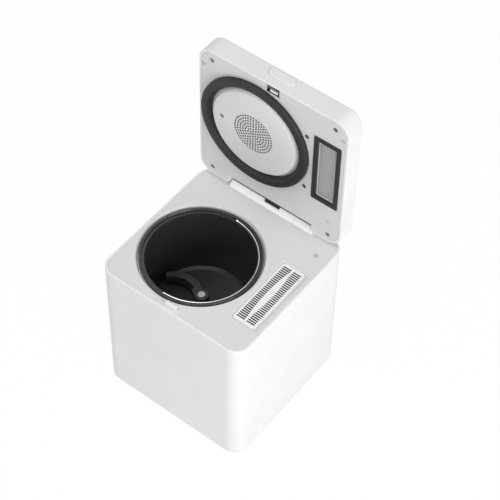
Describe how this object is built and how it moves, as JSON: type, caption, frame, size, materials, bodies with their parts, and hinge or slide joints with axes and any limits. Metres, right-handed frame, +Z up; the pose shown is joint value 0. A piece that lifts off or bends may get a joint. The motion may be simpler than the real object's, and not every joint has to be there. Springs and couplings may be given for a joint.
{
  "type": "electric food waste composter",
  "caption": "Countertop electric food waste composter: white cube body, hinged lid with carbon filter outlet, black lift-out bucket with bail, stirring blade on a geared drive.",
  "frame": {"origin": "on the floor, in the plane of the feet, under the middle of the bounding box with the lid open", "axes": "+Z up, -Y to the front where the lid's release button is when the lid is shut, +X to the filter's side"},
  "size_m": [0.28, 0.2922, 0.5771],
  "materials": {
    "white_shell": "fine satin moulding",
    "white_trim": "smooth moulding",
    "light_grey_plastic": "fine matt grain",
    "mid_grey_plastic": "matt",
    "black_silicone": "matt moulded silicone",
    "foot_rubber": "matt rubber",
    "heater_silicone": "silicone heating mat",
    "non_stick": "glossy black non-stick coating on aluminium",
    "bush_polymer": "self-lubricating polymer",
    "steel_wire": "bright drawn stainless wire",
    "cast_blade": "coated casting",
    "steel": "machined",
    "well_aluminium": "drawn sheet",
    "gearbox_casting": "die casting",
    "bronze_bush": "sintered bronze",
    "gear_polymer": "acetal",
    "motor_can": "plated can",
    "dark_plastic": "moulded",
    "brass_pins": "plated",
    "circuit_board": "solder mask",
    "mesh_steel": "woven wire mesh",
    "magnet": "nickel-plated",
    "carbon": "pelletised activated carbon"
  },
  "bodies": {
    "base": {"outer_shell": "white_shell", "base_tray": "white_shell", "feet": "foot_rubber", "base_screws": "steel", "deck_panel": "light_grey_plastic", "latch_striker": "white_trim", "lid_switch": "mid_grey_plastic", "hinge_saddle": "white_trim", "hinge_barrels": "white_trim", "hinge_pins": "steel", "wire_sleeve": "black_silicone", "bucket_well": "well_aluminium", "heater_band": "heater_silicone", "filter_bay": "dark_plastic", "fan_housing": "dark_plastic", "fan_motor": "motor_can", "exhaust_duct": "dark_plastic", "rear_grille": "white_trim", "inlet_socket": "dark_plastic", "inlet_pins": "brass_pins", "control_board": "circuit_board", "drive_motor": "motor_can", "idler_axle": "steel", "gearbox_housing": "gearbox_casting", "gearbox_cover": "gearbox_casting", "shaft_bushes": "bronze_bush", "shaft_seal": "black_silicone"},
    "drive": {"output_shaft": "steel", "output_gear": "steel"},
    "idler": {"idler_gear": "gear_polymer"},
    "motor_rotor": {"motor_pinion": "steel"},
    "fan": {"fan_impeller": "dark_plastic"},
    "filter": {"filter_cartridge": "white_trim", "carbon_block": "carbon"},
    "bucket": {"bucket": "non_stick", "bucket_bush": "bush_polymer"},
    "bail": {"bail_handle": "steel_wire"},
    "stirrer": {"stirrer_shaft": "steel", "stirring_blade": "cast_blade"},
    "lid": {"lid_shell": "white_shell", "lid_liner": "light_grey_plastic", "round_seal": "black_silicone", "flat_seal": "black_silicone", "outlet_mesh": "mesh_steel", "vent_plate": "light_grey_plastic", "lid_duct": "dark_plastic", "touch_board": "circuit_board", "lid_screws": "steel", "lid_bumpers": "foot_rubber", "button_springs": "steel", "switch_magnet": "magnet", "catch_guide": "dark_plastic"},
    "button": {"release_button": "white_trim"},
    "catch": {"latch_catch": "light_grey_plastic"}
  },
  "joints": [
    {"name": "lid_hinge", "type": "hinge", "parent": "base", "child": "lid", "pos_m": [0, 0.12565, 0.3041], "axis": [-1, 0, 0], "range_deg": [-90, 0]},
    {"name": "button_press", "type": "slide", "parent": "lid", "child": "button", "axis": [0, 0, -1], "range_m": [0, 0.0025], "stiffness_N_per_m": 400, "springref_m": -0.002, "deforming": ["button_springs"]},
    {"name": "catch_slide", "type": "slide", "parent": "lid", "child": "catch", "axis": [0, 0, -1], "range_m": [0, 0.0025]},
    {"name": "bucket_lift", "type": "slide", "parent": "base", "child": "bucket", "axis": [0, 0, 1], "range_m": [0, 0.2]},
    {"name": "bail_swing", "type": "hinge", "parent": "bucket", "child": "bail", "pos_m": [-0.03, -0.02615, 0.2834], "axis": [0, -1, 0], "range_deg": [0, 180]},
    {"name": "stirrer_spin", "type": "hinge", "parent": "bucket", "child": "stirrer", "pos_m": [-0.03, -0.02615, 0.15], "axis": [0, 0, 1], "continuous": true},
    {"name": "drive_spin", "type": "hinge", "parent": "base", "child": "drive", "pos_m": [-0.03, -0.02615, 0.11], "axis": [0, 0, 1], "continuous": true},
    {"name": "idler_spin", "type": "hinge", "parent": "base", "child": "idler", "pos_m": [0.02625, -0.02615, 0.11], "axis": [0, 0, 1], "continuous": true},
    {"name": "motor_spin", "type": "hinge", "parent": "base", "child": "motor_rotor", "pos_m": [0.07125, -0.02615, 0.11], "axis": [0, 0, 1], "continuous": true},
    {"name": "filter_lift", "type": "slide", "parent": "base", "child": "filter", "axis": [0, 0, 1], "range_m": [0, 0.12]},
    {"name": "fan_spin", "type": "hinge", "parent": "base", "child": "fan", "pos_m": [0.1, 0.01585, 0.16], "axis": [0, 0, 1], "continuous": true}
  ],
  "couplings": [
    {"joint": "catch_slide", "follows": "button_press", "ratio": 1},
    {"joint": "idler_spin", "follows": "drive_spin", "ratio": -4},
    {"joint": "motor_spin", "follows": "drive_spin", "ratio": 16},
    {"joint": "stirrer_spin", "follows": "drive_spin", "ratio": 1}
  ]
}
